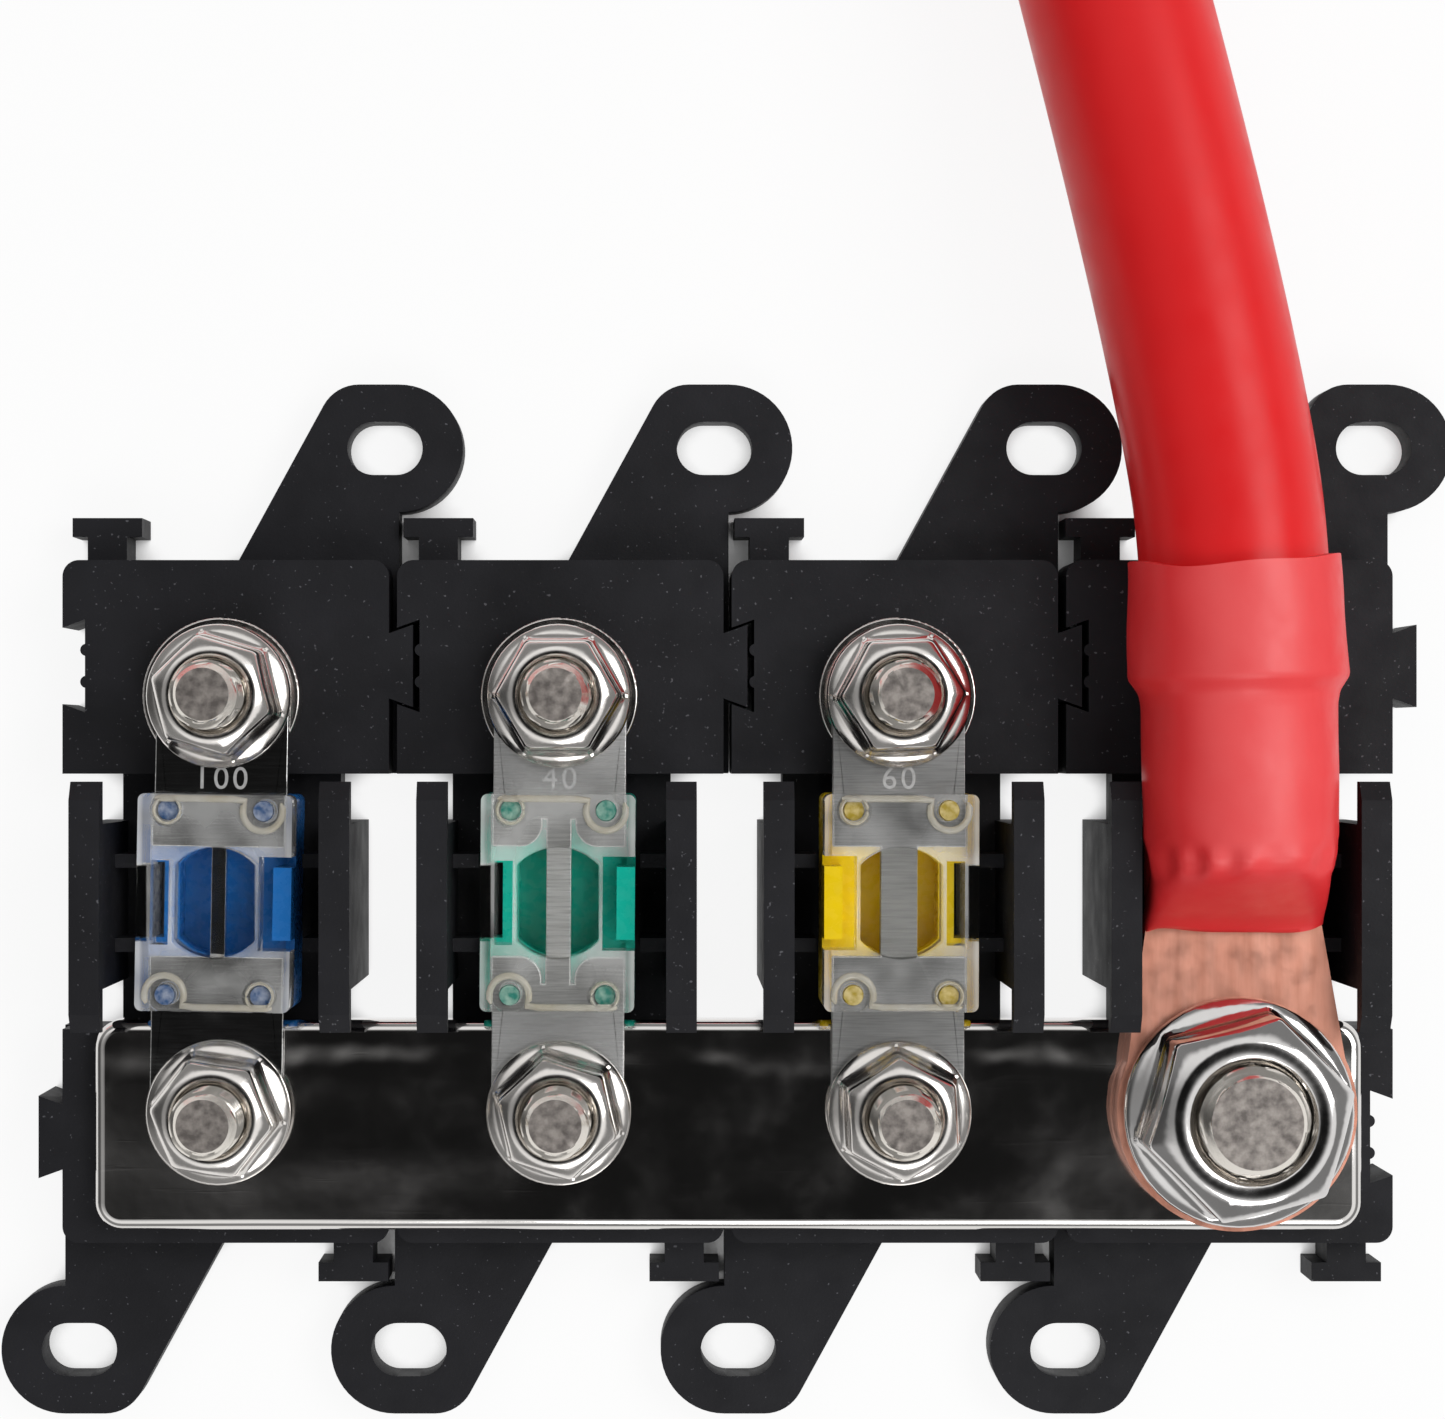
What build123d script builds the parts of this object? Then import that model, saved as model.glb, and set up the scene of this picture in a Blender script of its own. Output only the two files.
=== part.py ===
"""Four midi fuse holders locked side by side, with their bus bar, three bolt-down fuses and a supply lead.

The frame's origin is the middle of the row at the foot of the holders. +X runs along the row, +Y points
from the bus bar to the output studs, and +Z points up, away from the surface that the holders are screwed to.
"""

import os
from math import atan2, cos, degrees, hypot, pi, radians, sin, tan

from build123d import *

# How far a cut runs past the face that it opens, and how deep a boss is rooted in its wall
past = 1.0
root = 0.5

# Row of holders
holder_count = 4
holder_pitch = 24.5
holder_gap = 0.6

# Holder moulding: two end blocks joined by a narrower waist plate
block_outer_y = 25.0
block_inner_y = 9.35
block_top = 6.5
block_corner_r = 1.2
waist_half_width = 8.1
waist_thickness = 3.0

# Guard walls that stand beside the fuse, each a web with a longer rail on top
guard_inner_x = 7.73
guard_thickness = 2.16
guard_top = 15.15
web_half_length = 5.85
rail_half_length = 8.87
rail_depth = 1.5
rail_end_slope = 1.3
locating_rib_y = 3.05
locating_rib_width = 1.0
locating_rib_top = 8.6
locating_rib_gap = 0.35

# Screw-down ears, one at each end of a holder
ear_thickness = 3.0
ear_length = 13.25
ear_head_r = 4.75
ear_overhang = 0.45
ledge_gap = 0.15
ear_slant_root_x = 0.4
ear_flat_length = 4.75
ear_shoulder_r = 3.0
ear_slot_length = 5.6
ear_slot_width = 3.95
ear_slot_inset = 1.04

# T-shaped lugs that a cover hooks on
hook_inset = 2.85
hook_stem_width = 2.9
hook_bar_width = 5.15
hook_bar_depth = 1.4
hook_stand = 3.25
hook_height = 4.0

# Dovetails that lock neighbouring holders together
dovetail_y = 17.25
socket_depth = 1.65
socket_mouth_half = 2.8
socket_floor_half = 3.4
dovetail_gap = 0.2
tongue_end_gap = 0.5
socket_bump_r = 0.45
socket_bump_stands = 0.35
socket_bump_offset = 1.17

# Coring of the moulding's underside
coring_depth = 4.3
coring_wall = 2.0
coring_inner_x = 6.6

# Studs, nuts and collars
stud_y = 15.0
fuse_stud_r = 2.45
fuse_stud_top = 18.4
fuse_head_flats = 8.0
fuse_head_height = 3.5
fuse_nut_flats = 7.75
fuse_nut_height = 5.0
fuse_nut_flange_r = 5.2
fuse_nut_flange_height = 1.1
fuse_nut_angles = {"output": (-16.3, 0.0, 2.0), "bus": (-8.0, -17.0, 33.0)}
collar_r = 5.7
supply_stud_r = 3.95
supply_stud_top = 19.4
supply_stud_offset = -0.4
supply_stud_y = -14.75
supply_head_flats = 13.0
supply_head_height = 3.6
supply_nut_flats = 13.0
supply_nut_height = 6.6
supply_nut_flange_r = 8.2
supply_nut_flange_height = 1.6
supply_nut_angle = 14.5
stud_point = 0.6
thread_gap = 0.05
hole_gap = 0.2
head_gap = 0.1
head_recess = 0.2
flange_rim = 0.45
crown_angle = 30.0
crown_share = 0.85
flange_edge_r = 0.15

# Bus bar
bar_thickness = 2.5
bar_overhang = 9.25
bar_y_low = -23.75
bar_y_high = -8.5
bar_corner_r = 2.0
bar_edge_r = 0.85

# Fuses: housing below the link, clear cover above it
link_thickness = 0.9
link_width = 9.55
link_half_length = 19.75
link_corner_r = 4.7
link_shoulder_y = 3.95
link_hole_gap = 0.35
body_half_width = 5.5
body_half_length = 7.75
fuse_offset_y = 0.2
body_depth_below = 4.0
cover_height = 3.0
body_edge_r = 0.5
side_rim_gap = 0.1
chamber_r = 3.95
chamber_half_width = 2.9
chamber_depth_below = 2.6
chamber_depth_above = 1.6
pin_x = 3.4
pin_y = 6.6
pin_r = 0.7
pin_gap = 0.05
pin_dish_r = 1.25
pin_dish_depth = 0.45
pin_recess = 0.25
latch_half_length = 2.6
latch_inner_x = 4.2
latch_slot_half_length = 3.35
latch_slot_inner_x = 3.2
latch_gap = 0.12
cover_latch_inner_x = 4.5
cover_window_half_length = 3.0
latch_drop = 3.6

# Each fuse: strip width, strip style, which side its housing's latch is on, and how far it sits turned
fuse_strips = (
    {"width": 1.05, "curved": False, "latch_side": 1, "turn": -1.0},
    {"width": 1.8, "curved": True, "latch_side": 1, "turn": -0.4},
    {"width": 2.65, "curved": False, "latch_side": -1, "turn": -0.2},
)
curved_slot_y = 5.9
curved_slot_width = 0.3
curved_shoulder_r = 1.6

# Supply lead: cable, its lug and shrink sleeve at each end
lug_tube_r = 6.1
lug_bore_r = 4.9
lug_palm_thickness = 2.7
lug_palm_r = 8.6
lug_neck_width = 12.6
lug_palm_flare = 25.0
lug_palm_start = 13.2
lug_tube_start = 17.6
lug_mouth = 30.1
lug_turn = 1.1
lug_blank = 1.2
cable_r = 6.6
cable_setback = 0.3
straight_exit = 8.0
bend_share = 0.45
conductor_r = 4.8
conductor_short = 0.5
sleeve_thickness = 0.75
sleeve_start = 13.4
sleeve_end = 39.2
sleeve_gap = 0.03
sleeve_lap = 0.5
sleeve_step = 2.6
sleeve_bulge = 0.45

block_half_width = (holder_pitch - holder_gap) / 2
ear_side_x = block_half_width + ear_overhang
ear_slot_x = ear_side_x - ear_slot_inset
ear_reach = block_outer_y + ear_length
hook_x = hook_inset - block_half_width
hook_reach = block_outer_y + hook_stand
tongue_reach = holder_gap + socket_depth - tongue_end_gap
bar_top = block_top + bar_thickness
link_top = bar_top + link_thickness
first_x = -holder_pitch * (holder_count - 1) / 2
holder_x = [first_x + holder_pitch * i for i in range(holder_count)]
fuse_count = holder_count - 1
supply_x = holder_x[-1] + supply_stud_offset
bar_half_length = bar_overhang - first_x


def slab(x_low, x_high, y_low, y_high, z_low, z_high):
    """A block between six planes."""
    size = Box(x_high - x_low, y_high - y_low, z_high - z_low)
    return Pos((x_low + x_high) / 2, (y_low + y_high) / 2, (z_low + z_high) / 2) * size


def rod(x, y, r, z_low, z_high):
    """An upright cylinder between two heights."""
    return Pos(x, y, (z_low + z_high) / 2) * Cylinder(r, z_high - z_low)


def prism(outline, z_low, z_high):
    """A flat outline raised between two heights."""
    return Pos(0, 0, z_low) * extrude(outline, amount=z_high - z_low)


def polygon(*points):
    """The face inside a closed run of straight lines."""
    return make_face(Polyline(*points, close=True))


def turned(shape):
    """The same shape half a turn round the holder's middle."""
    return Rot(0, 0, 180) * shape


# Holder moulding


def ear():
    """A screw-down ear: a slanted arm with a round head and a slot along the row."""
    head_y = ear_reach - ear_head_r
    shoulder = (ear_side_x - ear_flat_length, ear_reach)
    slope = ear_length / (shoulder[0] - ear_slant_root_x)
    root_y = block_outer_y - block_corner_r
    arm = polygon(
        (ear_slant_root_x - block_corner_r / slope, root_y),
        shoulder,
        (ear_side_x, ear_reach),
        (ear_side_x, root_y),
    )
    arm = fillet(arm.vertices().sort_by_distance((*shoulder, 0))[0], ear_shoulder_r)
    outline = arm + Pos(ear_side_x, head_y) * Circle(ear_head_r)
    outline -= Pos(ear_slot_x, head_y) * SlotOverall(ear_slot_length, ear_slot_width)
    return prism(outline, 0, ear_thickness)


def ledge():
    """The foot of a block's right face, as thick as the ear, which nearly closes the gap to the next holder."""
    ledge_x = block_half_width + holder_gap - ledge_gap
    return slab(block_half_width - root, ledge_x, block_inner_y, block_outer_y, 0, ear_thickness)


def hook():
    """A T-shaped lug on the block's outer face."""
    bar_low = hook_reach - hook_bar_depth
    half_bar = hook_bar_width / 2
    half_stem = hook_stem_width / 2
    bar = slab(hook_x - half_bar, hook_x + half_bar, bar_low, hook_reach, 0, hook_height)
    stem = slab(hook_x - half_stem, hook_x + half_stem, block_outer_y - root, bar_low, 0, hook_height)
    return bar + stem


def socket_edge(depth):
    """Half the dovetail socket's width at a depth below its mouth."""
    return socket_mouth_half + (socket_floor_half - socket_mouth_half) * depth / socket_depth


def socket():
    """The dovetail socket in a block's left face, with two bumps that take up its play."""
    mouth_x = -block_half_width
    floor_x = mouth_x + socket_depth
    outline = polygon(
        (mouth_x - past, dovetail_y - socket_edge(-past)),
        (floor_x, dovetail_y - socket_floor_half),
        (floor_x, dovetail_y + socket_floor_half),
        (mouth_x - past, dovetail_y + socket_edge(-past)),
    )
    cut = prism(outline, -past, block_top + past)
    for side in (-1, 1):
        bump_x = floor_x + socket_bump_r - socket_bump_stands
        bump_y = dovetail_y + side * socket_bump_offset
        cut -= rod(bump_x, bump_y, socket_bump_r, -past, block_top + past)
    return cut


def tongue():
    """The dovetail tongue on a block's right face, which fills the neighbour's socket less a gap."""

    def half_at(reach):
        return socket_edge(reach - holder_gap) - dovetail_gap

    root_x = block_half_width - root
    tip_x = block_half_width + tongue_reach
    outline = polygon(
        (root_x, dovetail_y - half_at(-root)),
        (tip_x, dovetail_y - half_at(tongue_reach)),
        (tip_x, dovetail_y + half_at(tongue_reach)),
        (root_x, dovetail_y + half_at(-root)),
    )
    return prism(outline, 0, block_top)


def coring():
    """The two hollows under a block, either side of its stud."""
    pockets = []
    floor_x = block_half_width - socket_depth - coring_wall
    for side in (-1, 1):
        low, high = sorted((side * coring_inner_x, side * floor_x))
        y_low = block_inner_y + coring_wall
        y_high = block_outer_y - coring_wall
        pockets.append(slab(low, high, y_low, y_high, -past, coring_depth))
    return pockets


def end_block():
    """One end block with its ear, ledge, hook, tongue and socket."""
    outline = Pos(0, (block_inner_y + block_outer_y) / 2) * Rectangle(
        2 * block_half_width, block_outer_y - block_inner_y
    )
    outer_corners = outline.vertices().group_by(Axis.Y)[-1]
    outline = fillet(outer_corners, block_corner_r)
    block = prism(outline, 0, block_top) - socket() + tongue() + ear() + ledge() + hook()
    for pocket in coring():
        block -= pocket
    return block


def guard():
    """The right-hand guard wall: a web with a rail on top and two ribs that locate the fuse."""
    outer_x = guard_inner_x + guard_thickness
    rail_low = guard_top - rail_depth
    web = slab(guard_inner_x, outer_x, -web_half_length, web_half_length, 0, rail_low)
    slope_y = rail_half_length - rail_end_slope
    side_view = Plane.YZ * polygon(
        (-rail_half_length, rail_low),
        (rail_half_length, rail_low),
        (rail_half_length, rail_low + rail_depth / 2),
        (slope_y, guard_top),
        (-slope_y, guard_top),
        (-rail_half_length, rail_low + rail_depth / 2),
    )
    wall = web + Pos(guard_inner_x, 0, 0) * extrude(side_view, amount=guard_thickness)
    rib_x = body_half_width + locating_rib_gap
    for side in (-1, 1):
        y_low = side * locating_rib_y - locating_rib_width / 2
        y_high = y_low + locating_rib_width
        wall += slab(rib_x, guard_inner_x, y_low, y_high, 0, locating_rib_top)
    return wall


def stud_passage(y, stud_r, flats, head_height):
    """The hole for a stud and the hexagon pocket for its head, open at the underside."""
    pocket = RegularPolygon(flats / 2 + head_gap, 6, major_radius=False)
    depth = head_recess + head_height
    hole = rod(0, y, stud_r + thread_gap, -past, block_top + past)
    return hole + Pos(0, y, 0) * prism(pocket, -past, depth)


def holder(supply=False):
    """One fuse holder moulding. The last one in the row takes the larger supply stud."""
    body = end_block() + turned(end_block())
    body += slab(-waist_half_width, waist_half_width, -block_inner_y, block_inner_y, 0, waist_thickness)
    body += guard() + turned(guard())
    body -= stud_passage(stud_y, fuse_stud_r, fuse_head_flats, fuse_head_height)
    if supply:
        passage = stud_passage(supply_stud_y, supply_stud_r, supply_head_flats, supply_head_height)
        body -= Pos(supply_stud_offset, 0, 0) * passage
    else:
        body -= stud_passage(-stud_y, fuse_stud_r, fuse_head_flats, fuse_head_height)
    return body


# Fasteners


def stud(r, top, flats, head_height):
    """A captive stud: hexagon head in the moulding, shank upwards, chamfered point. Its thread isn't cut."""
    head = prism(RegularPolygon(flats / 2, 6, major_radius=False), head_recess, head_recess + head_height)
    shank = rod(0, 0, r, head_recess, top)
    tip = shank.edges().sort_by(Axis.Z)[-1]
    return head + chamfer(tip, stud_point)


def flange_nut(stud_r, flats, height, flange_r, flange_height):
    """A hexagon nut with a cone-topped flange, its corners turned off at the top."""
    hexagon = prism(RegularPolygon(flats / 2, 6, major_radius=False), 0, height)
    corner_r = flats / 2 / cos(pi / 6)
    crown_r = crown_share * flats / 2
    crown = Plane.XZ * polygon(
        (0, 0),
        (corner_r, 0),
        (corner_r, height - (corner_r - crown_r) * tan(radians(crown_angle))),
        (crown_r, height),
        (0, height),
    )
    hexagon = hexagon & revolve(crown, Axis.Z)
    skirt = Plane.XZ * polygon(
        (0, 0),
        (flange_r, 0),
        (flange_r, flange_rim),
        (flats / 2, flange_height + flange_rim),
        (0, flange_height + flange_rim),
    )
    flange = revolve(skirt, Axis.Z)
    rim_edges = flange.edges().filter_by(GeomType.CIRCLE).group_by(SortBy.RADIUS)[-1]
    nut = hexagon + fillet(rim_edges, flange_edge_r)
    bore = rod(0, 0, stud_r + thread_gap, -past, height + past)
    countersink = Pos(0, 0, height - stud_point / 2) * Cone(stud_r, stud_r + 2 * stud_point, stud_point)
    return nut - bore - countersink


def collar():
    """The steel collar that lifts the fuse's output end level with the bus bar."""
    ring = rod(0, 0, collar_r, 0, bar_thickness)
    rims = ring.edges().filter_by(GeomType.CIRCLE)
    return fillet(rims, flange_edge_r) - rod(0, 0, fuse_stud_r + thread_gap, -past, bar_thickness + past)


# Bus bar


def bus_bar():
    """The plated bar under the fuses' inner ends, with rounded upper edges."""
    width = bar_y_high - bar_y_low
    outline = Pos(0, (bar_y_low + bar_y_high) / 2) * Rectangle(2 * bar_half_length, width)
    outline = fillet(outline.vertices(), bar_corner_r)
    bar = prism(outline, block_top, bar_top)
    bar = fillet(bar.faces().sort_by(Axis.Z)[-1].edges(), bar_edge_r)
    for x in holder_x[:fuse_count]:
        bar -= rod(x, -stud_y, fuse_stud_r + hole_gap, block_top - past, bar_top + past)
    return bar - rod(supply_x, supply_stud_y, supply_stud_r + hole_gap, block_top - past, bar_top + past)


# Fuses, each about its own middle with the link's underside at z = 0


def chamber_outline():
    """The arc chamber's plan: a circle with its sides cut flat."""
    return Circle(chamber_r) & Rectangle(2 * chamber_half_width, 2 * chamber_r)


def pin_places():
    """The four corners where pins hold the housing, link and cover together."""
    return [(sx * pin_x, sy * pin_y) for sx in (-1, 1) for sy in (-1, 1)]


def curved_shoulders(inner_x):
    """What is cut off the blades' corners beside the strip's slots, to leave them round."""
    cuts = []
    middle = curved_shoulder_r / 2
    for sx in (-1, 1):
        for sy in (-1, 1):
            square = Pos(sx * middle, sy * middle) * Rectangle(curved_shoulder_r, curved_shoulder_r)
            kept = Pos(sx * curved_shoulder_r, sy * curved_shoulder_r) * Circle(curved_shoulder_r)
            cuts.append(Pos(sx * inner_x, sy * link_shoulder_y) * (square - kept))
    return cuts


def fuse_link(strip_width, curved):
    """The metal link: two bolt-down blades joined by the narrow strip that melts."""
    blade = RectangleRounded(link_width, 2 * link_half_length, link_corner_r)
    inner = link_shoulder_y
    window = Rectangle(link_width + past, 2 * inner)
    plan = blade - window + Rectangle(strip_width, 2 * inner + root)
    if curved:
        slot = Rectangle(strip_width + 2 * curved_slot_width, 2 * curved_slot_y)
        plan -= slot - Rectangle(strip_width, 2 * curved_slot_y)
        plan -= curved_shoulders(strip_width / 2 + curved_slot_width)
    for sy in (-1, 1):
        plan -= Pos(0, sy * stud_y) * Circle(fuse_stud_r + link_hole_gap)
    for x, y in pin_places():
        plan -= Pos(x, y) * Circle(pin_r + 2 * pin_gap)
    return prism(plan, 0, link_thickness)


def body_blank(z_low, z_high):
    """The fuse body's plan between two heights, with its upright edges eased."""
    plan = RectangleRounded(2 * body_half_width, 2 * body_half_length, body_edge_r)
    return prism(plan, z_low, z_high)


def latch_arm(side, inner_x, z_low, z_high):
    """A latch arm on one side of the body."""
    low, high = sorted((side * inner_x, side * body_half_width))
    return slab(low, high, -latch_half_length, latch_half_length, z_low, z_high)


def latch_slot(side, z_low, z_high):
    """The slot in the other half that a latch arm passes through."""
    low, high = sorted((side * latch_slot_inner_x, side * (body_half_width + past)))
    return slab(low, high, -latch_slot_half_length, latch_slot_half_length, z_low, z_high)


def latch_notch(side, z_low, z_high):
    """A close notch around the other half's latch arm."""
    low, high = sorted((side * (latch_inner_x - latch_gap), side * (body_half_width + past)))
    reach = latch_half_length + latch_gap
    return slab(low, high, -reach, reach, z_low, z_high)


def fuse_housing(side):
    """The coloured lower half: arc chamber, four pins and one latch arm."""
    body = body_blank(-body_depth_below, link_thickness)
    channel = link_width / 2 + side_rim_gap
    reach = body_half_length + past
    body -= slab(-channel, channel, -reach, reach, 0, link_thickness + past)
    body -= prism(chamber_outline(), -chamber_depth_below, past)
    body -= latch_notch(-side, -body_depth_below - past, link_thickness + past)
    latch_top = link_thickness + cover_height - pin_recess
    body += latch_arm(side, latch_inner_x, 0, latch_top)
    for x, y in pin_places():
        body += rod(x, y, pin_r, 0, link_thickness + cover_height - pin_recess)
    return body


def fuse_cover(side):
    """The clear upper half: arc chamber, pin holes with dished mouths, and the other latch arm by its window."""
    top = link_thickness + cover_height
    body = body_blank(link_thickness, top)
    body -= prism(chamber_outline(), link_thickness - past, link_thickness + chamber_depth_above)
    body -= latch_slot(side, link_thickness - past, top + past)
    for x, y in pin_places():
        body -= rod(x, y, pin_r + pin_gap, link_thickness - past, top + past)
        body -= rod(x, y, pin_dish_r, top - pin_dish_depth, top + past)
    low, high = sorted((-side * latch_slot_inner_x, -side * cover_latch_inner_x))
    reach = cover_window_half_length
    body -= slab(low, high, -reach, reach, link_thickness - past, top + past)
    return body + latch_arm(-side, cover_latch_inner_x, link_thickness - latch_drop, top - pin_recess)


# Supply lead. A lug's own frame has its hole at the origin, palm on z = 0, tube towards +Y


def across_lug(y, z):
    """The plane across a lug at one place along it."""
    return Plane((0, y, z), x_dir=(1, 0, 0), z_dir=(0, 1, 0))


def lug_shoulder(skin=0):
    """The taper from a lug's flat palm to its round tube, thickened by a skin."""
    flat_end = across_lug(lug_palm_start, lug_palm_thickness / 2)
    round_end = across_lug(lug_tube_start, lug_tube_r)
    flat_section = SlotOverall(lug_neck_width + 2 * skin, lug_palm_thickness + 2 * skin)
    return loft([flat_end * flat_section, round_end * Circle(lug_tube_r + skin)])


def lug_envelope(tube_end=lug_mouth):
    """A lug's outer form: palm, flattened shoulder and tube."""
    neck = lug_neck_width / 2
    edge_x = lug_palm_r * cos(radians(lug_palm_flare))
    edge_y = lug_palm_r * sin(radians(lug_palm_flare))
    palm = Circle(lug_palm_r) + polygon(
        (-edge_x, edge_y),
        (-neck, lug_palm_start),
        (neck, lug_palm_start),
        (edge_x, edge_y),
    )
    round_end = across_lug(lug_tube_start, lug_tube_r)
    tube = extrude(round_end * Circle(lug_tube_r), amount=tube_end - lug_tube_start)
    return prism(palm, 0, lug_palm_thickness) + lug_shoulder() + tube


def cable_lug():
    """A tubular copper lug: hole in the palm, blind bore for the conductor."""
    bore_start = across_lug(lug_tube_start + lug_blank, lug_tube_r)
    bore = extrude(bore_start * Circle(lug_bore_r), amount=lug_mouth)
    hole = rod(0, 0, supply_stud_r + hole_gap, -past, lug_palm_thickness + past)
    return lug_envelope() - bore - hole


def shrink_sleeve():
    """The shrunk sleeve over a lug's shoulder and tube and the end of the cable, still solid."""
    tube_r = lug_tube_r + sleeve_thickness
    grip_r = cable_r + sleeve_gap + sleeve_thickness
    bulge_y = lug_mouth + sleeve_lap
    profile = polygon(
        (0, lug_tube_start),
        (tube_r, lug_tube_start),
        (tube_r, bulge_y - sleeve_step),
        (grip_r + sleeve_bulge, bulge_y),
        (grip_r, sleeve_end),
        (0, sleeve_end),
    )
    round_part = Pos(0, 0, lug_tube_r) * revolve(profile, Axis.Y)
    reach = lug_neck_width
    kept = slab(-reach, reach, sleeve_start, lug_tube_start, -reach, 2 * reach)
    return round_part + (lug_shoulder(sleeve_thickness) & kept)


near_lug_place = Pos(supply_x, supply_stud_y, bar_top) * Rot(0, 0, lug_turn)

# The cable's route, in order from the lug on the bus bar to the far lug. Its first run leaves the near lug
# in line, and its last run is level, so the far lug lies flat
cable_route = [
    tuple((near_lug_place * Pos(0, lug_mouth + cable_setback, lug_tube_r)).position),
    tuple((near_lug_place * Pos(0, lug_mouth + straight_exit, lug_tube_r)).position),
    (34.6, 32.5, 15.0),
    (30.7, 51.1, 14.0),
    (23.6, 81.8, 9.6),
    (0.6, 112.4, 7.2),
    (-33.8, 128.5, 6.9),
    (-71.8, 126.5, 7.0),
    (-104.3, 107.0, 8.1),
    (-122.8, 74.9, 8.1),
]


def bend_radii(points):
    """The largest arc that each corner's two runs allow."""
    radii = []
    for before, corner, after in zip(points, points[1:], points[2:]):
        first = Vector(*corner) - Vector(*before)
        second = Vector(*after) - Vector(*corner)
        half_turn = radians(first.get_angle(second)) / 2
        radii.append(bend_share * min(first.length, second.length) / tan(half_turn))
    return radii


def swept(points, r):
    """A round rod along straight runs joined by tangent arcs."""
    path = FilletPolyline(*points, radius=bend_radii(points))
    start = Plane(origin=path @ 0, z_dir=path % 0)
    return sweep(start * Circle(r), path=path)


def far_lug_place():
    """Where the far lug lies: flat, in line with the cable's last run."""
    before, end = Vector(*cable_route[-2]), Vector(*cable_route[-1])
    run = end - before
    turn = degrees(atan2(run.X, -run.Y))
    back = run * ((lug_mouth + cable_setback) / hypot(run.X, run.Y))
    return Pos(end.X + back.X, end.Y + back.Y, end.Z - lug_tube_r) * Rot(0, 0, turn)


def conductor():
    """The copper core, bared at each end inside its lug."""
    core = swept(cable_route, conductor_r)
    bared = lug_mouth + cable_setback - lug_tube_start - lug_blank - conductor_short
    for place in (near_lug_place, far_lug_place()):
        start = place * Pos(0, lug_mouth + cable_setback, lug_tube_r) * Rot(90, 0, 0)
        core += start * Pos(0, 0, bared / 2) * Cylinder(conductor_r, bared)
    return core


def placed_sleeve(place):
    """A sleeve on its lug, hollowed by the lug and the cable inside it."""
    lined = shrink_sleeve() - lug_envelope(lug_mouth + cable_setback)
    return place * lined - swept(cable_route, cable_r + sleeve_gap)


def build():
    """Every node's name and shape."""
    nodes = {}
    for i, x in enumerate(holder_x):
        nodes[f"holder_{i + 1}"] = Pos(x, 0, 0) * holder(supply=i == holder_count - 1)
    nodes["bus_bar"] = bus_bar()

    fuse_stud = stud(fuse_stud_r, fuse_stud_top, fuse_head_flats, fuse_head_height)
    fuse_nut = flange_nut(
        fuse_stud_r, fuse_nut_flats, fuse_nut_height, fuse_nut_flange_r, fuse_nut_flange_height
    )
    studs, nuts, collars = [], [], []
    for i, x in enumerate(holder_x[:fuse_count]):
        for row, y in (("output", stud_y), ("bus", -stud_y)):
            studs.append(Pos(x, y, 0) * fuse_stud)
            nuts.append(Pos(x, y, link_top) * Rot(0, 0, fuse_nut_angles[row][i]) * fuse_nut)
        collars.append(Pos(x, stud_y, block_top) * collar())
    nodes["fuse_studs"] = Compound(children=studs)
    nodes["fuse_nuts"] = Compound(children=nuts)
    nodes["spacer_collars"] = Compound(children=collars)

    nodes["supply_stud"] = Pos(supply_x, supply_stud_y, 0) * stud(
        supply_stud_r, supply_stud_top, supply_head_flats, supply_head_height
    )
    supply_nut_z = bar_top + lug_palm_thickness
    nodes["supply_nut"] = (
        Pos(supply_x, supply_stud_y, supply_nut_z)
        * Rot(0, 0, supply_nut_angle)
        * flange_nut(
            supply_stud_r,
            supply_nut_flats,
            supply_nut_height,
            supply_nut_flange_r,
            supply_nut_flange_height,
        )
    )

    for i, strip in enumerate(fuse_strips):
        place = Pos(holder_x[i], fuse_offset_y, bar_top) * Rot(0, 0, strip["turn"])
        nodes[f"fuse_{i + 1}_link"] = place * fuse_link(strip["width"], strip["curved"])
        nodes[f"fuse_{i + 1}_housing"] = place * fuse_housing(strip["latch_side"])
        nodes[f"fuse_{i + 1}_cover"] = place * fuse_cover(strip["latch_side"])

    nodes["supply_lug"] = near_lug_place * cable_lug()
    nodes["supply_sleeve"] = placed_sleeve(near_lug_place)
    nodes["supply_conductor"] = conductor()
    nodes["supply_cable"] = swept(cable_route, cable_r) - swept(cable_route, conductor_r + sleeve_gap)
    nodes["far_lug"] = far_lug_place() * cable_lug()
    nodes["far_sleeve"] = placed_sleeve(far_lug_place())
    return nodes


os.makedirs("parts", exist_ok=True)
for name, shape in build().items():
    export_step(shape, f"parts/{name}.step")
route_path = FilletPolyline(*cable_route, radius=bend_radii(cable_route))
print("bend radii, mm:", [round(r, 1) for r in bend_radii(cable_route)])
print("cable length, mm:", round(route_path.length, 1))
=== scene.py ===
"""The looks of a row of four midi fuse holders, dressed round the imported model."""

from math import atan2, cos, floor, hypot, pi, radians, sin, tan

import bpy
from mathutils import Matrix, Vector


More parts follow.
